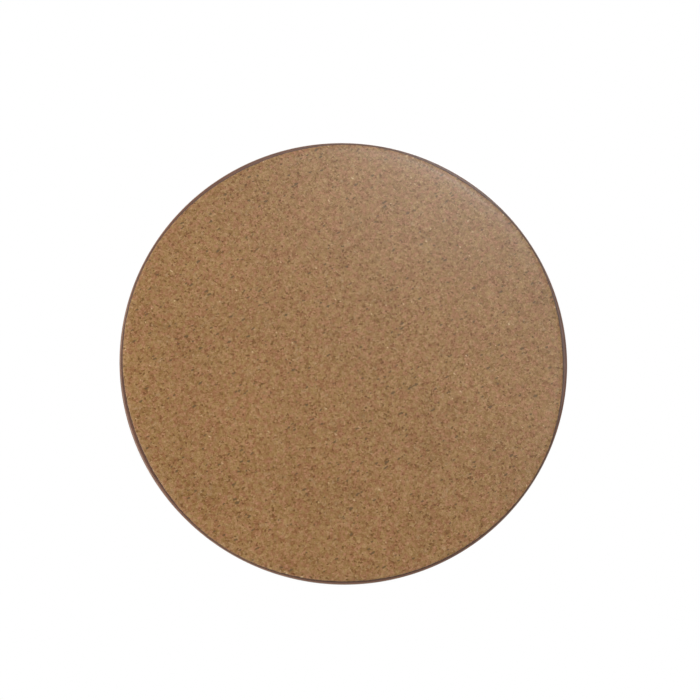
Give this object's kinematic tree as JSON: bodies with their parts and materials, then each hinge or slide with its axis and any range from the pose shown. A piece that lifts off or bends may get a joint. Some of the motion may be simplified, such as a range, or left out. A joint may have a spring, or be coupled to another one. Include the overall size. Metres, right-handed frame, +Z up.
{
  "type": "cork bulletin board",
  "caption": "Round wall-hung cork bulletin board: thin cork facing on a fibreboard core with a dark edge band, ring hanger and rubber bumpers on the back.",
  "frame": {"origin": "the point on the wall behind the crown of the hanger ring, where the nail or hook that carries the board goes in", "axes": "+Z up; +Y from the room into the wall, so the cork faces -Y and the wall is the plane y = 0; +X to the right as seen from the room"},
  "size_m": [0.3, 0.0147, 0.3],
  "materials": {
    "cork": "matte",
    "dried_glue": "satin",
    "fibreboard": "matte",
    "band_lacquer": "satin",
    "zinc_plate": "satin",
    "ring_wire": "polished",
    "screw_steel": "satin",
    "bumper_rubber": "matte"
  },
  "bodies": {
    "board": {"cork_sheet": "cork", "adhesive_film": "dried_glue", "core_board": "fibreboard", "edge_band": "band_lacquer", "hanger_strap": "zinc_plate", "hanger_screw_upper": "screw_steel", "hanger_screw_lower": "screw_steel", "wall_bumper_upper_right": "bumper_rubber", "wall_bumper_upper_left": "bumper_rubber", "wall_bumper_lower_left": "bumper_rubber", "wall_bumper_lower_right": "bumper_rubber"},
    "ring": {"hanger_ring": "ring_wire"}
  },
  "joints": [
    {"name": "ring_swing", "type": "hinge", "parent": "board", "child": "ring", "pos_m": [0, -0.00205, -0.0121], "axis": [-1, 0, 0], "range_deg": [0, 176]}
  ]
}
